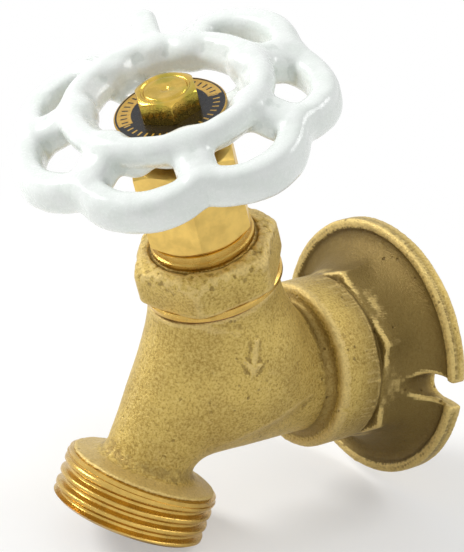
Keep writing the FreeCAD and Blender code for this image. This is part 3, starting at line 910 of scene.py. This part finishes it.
disc_outline = [(55.42, 2.3), (55.42, 9.2), (55.6, 9.34), (55.85, 9.34), (56.0, 9.2), (56.0, 2.3)]
disc_mesh = turned_mesh("dial_face", STEM, disc_outline, 288, 0.12)
piece("dial_face", disc_mesh, "spindle", DIAL, ["dial_disc"])

SCREW_FLATS = 9.525         # 3/8 inch
SCREW_CORNER = -27.0
screw_outline = [
    (47.1, 0.01), (47.1, 2.05), (56.02, 2.05), (56.02, 5.35), (56.3, 5.5), (59.35, 5.5), (59.75, 5.15),
    (59.98, 4.55), (59.98, 4.15), (59.75, 3.95), (59.7, 3.7), (59.95, 3.45), (60.0, 3.0), (59.9, 1.2),
    (59.82, 0.7), (59.62, 0.45), (59.58, 0.01),
]
screw_mesh = turned_mesh("handle_screw_head", STEM, screw_outline, 360, 0.1,
                         (SCREW_FLATS, SCREW_CORNER, 56.0, 60.2), 40.0)
piece("handle_screw_head", screw_mesh, "spindle", PLATED, ["handle_screw"])

for node, material in {
    "bonnet_gasket": FIBRE, "packing_washer": TURNED, "packing_gland": TURNED, "seat_washer": RUBBER,
    "seat_washer_screw": TURNED, "stem": DARK, "packing_ring_1": GRAPHITE, "packing_ring_2": GRAPHITE,
    "packing_ring_3": GRAPHITE,
}.items():
    mesh = frame["nodes"][node].data
    mesh.materials.clear()
    mesh.materials.append(material)


# ---------------------------------------------------------------- studio

FLOOR_HALF = 900.0
FLOOR_GAP = 0.3
WORLD_STRENGTH = 0.5
AIM = (0.0, -38.0, 15.0)    # what the lamps point at


def floor_paint():
    """Pale floor that keeps the shadow near the object and is plain white to the camera further out."""
    s = Shader("pale floor")
    s.put("Base Color", colour(246, 246, 245))
    s.put("Roughness", 0.9)
    nodes = s.tree.nodes
    links = s.tree.links
    far = nodes.new("ShaderNodeVectorMath")
    far.operation = "LENGTH"
    links.new(s.place, far.inputs[0])
    path = nodes.new("ShaderNodeLightPath")
    white = nodes.new("ShaderNodeEmission")
    mix = nodes.new("ShaderNodeMixShader")
    share = s.ramp(far.outputs["Value"], 0.05, 0.16, 0.35, 1.0)
    links.new(s.math("MULTIPLY", share, path.outputs["Is Camera Ray"]), mix.inputs[0])
    links.new(s.surface.outputs[0], mix.inputs[1])
    links.new(white.outputs[0], mix.inputs[2])
    links.new(mix.outputs[0], nodes["Material Output"].inputs["Surface"])
    return s.material


def floor():
    """A wide flat floor just under the outlet."""
    half = FLOOR_HALF
    low = CAD_BOUNDS[0][2] / MM - FLOOR_GAP
    points = np.array([[-half, -half, low], [half, -half, low], [half, half, low], [-half, half, low]])
    mesh = quad_mesh("floor", points, np.array([[0, 1, 2, 3]]))
    mesh.materials.append(floor_paint())
    obj = bpy.data.objects.new("floor", mesh)
    bpy.context.scene.collection.objects.link(obj)


def world():
    """Soft even light, and plain white wherever the camera, a gloss or glass looks past the object."""
    made = bpy.data.worlds.new("studio")
    bpy.context.scene.world = made
    made.use_nodes = True
    nodes = made.node_tree.nodes
    links = made.node_tree.links
    light = nodes["Background"]
    light.inputs["Color"].default_value = (1.0, 1.0, 1.0, 1.0)
    light.inputs["Strength"].default_value = WORLD_STRENGTH
    seen = nodes.new("ShaderNodeBackground")
    seen.inputs["Color"].default_value = (1.0, 1.0, 1.0, 1.0)
    seen.inputs["Strength"].default_value = 1.0
    path = nodes.new("ShaderNodeLightPath")
    glossy = nodes.new("ShaderNodeMath")
    glossy.operation = "MAXIMUM"
    links.new(path.outputs["Is Camera Ray"], glossy.inputs[0])
    links.new(path.outputs["Is Glossy Ray"], glossy.inputs[1])
    through = nodes.new("ShaderNodeMath")
    through.operation = "MAXIMUM"
    links.new(glossy.outputs[0], through.inputs[0])
    links.new(path.outputs["Is Transmission Ray"], through.inputs[1])
    mix = nodes.new("ShaderNodeMixShader")
    links.new(through.outputs[0], mix.inputs[0])
    links.new(light.outputs[0], mix.inputs[1])
    links.new(seen.outputs[0], mix.inputs[2])
    links.new(mix.outputs[0], nodes["World Output"].inputs["Surface"])


def lamp(name, place, aim, width, power):
    """A round soft lamp. Places and width in mm, power in watts."""
    data = bpy.data.lights.new(name, "AREA")
    data.shape = "DISK"
    data.size = width * MM
    data.energy = power
    obj = bpy.data.objects.new(name, data)
    obj.location = Vector(place) * MM
    obj.rotation_euler = (Vector(aim) - Vector(place)).to_track_quat("-Z", "Y").to_euler()
    bpy.context.scene.collection.objects.link(obj)


def camera():
    """The view's turn, height, roll, distance and focal length, aimed at a point near the globe."""
    turn = math.radians(51.07)
    rise = math.radians(23.43)
    roll = math.radians(5.01)
    distance = 447.3
    aim = Vector((6.14, -40.0, 23.53))
    back = Vector((math.sin(turn) * math.cos(rise), -math.cos(turn) * math.cos(rise), math.sin(rise)))
    right = Vector((math.cos(turn), math.sin(turn), 0.0))
    up = back.cross(right)
    rolled_right = right * math.cos(roll) + up * math.sin(roll)
    rolled_up = up * math.cos(roll) - right * math.sin(roll)
    data = bpy.data.cameras.new("view")
    data.sensor_fit = "VERTICAL"
    data.sensor_height = 36.0
    data.lens = 176.2
    data.clip_start = 0.01
    obj = bpy.data.objects.new("view", data)
    place = Matrix((rolled_right, rolled_up, back)).transposed().to_4x4()
    place.translation = (aim + back * distance) * MM
    obj.matrix_world = place
    bpy.context.scene.collection.objects.link(obj)
    bpy.context.scene.camera = obj


floor()
world()
lamp("key", (-360.0, -330.0, 380.0), AIM, 220.0, 2.7)
lamp("fill", (420.0, -200.0, 160.0), AIM, 360.0, 0.15)
lamp("rim", (160.0, 320.0, 380.0), AIM, 240.0, 0.7)
camera()
bpy.context.scene.view_settings.view_transform = "Standard"
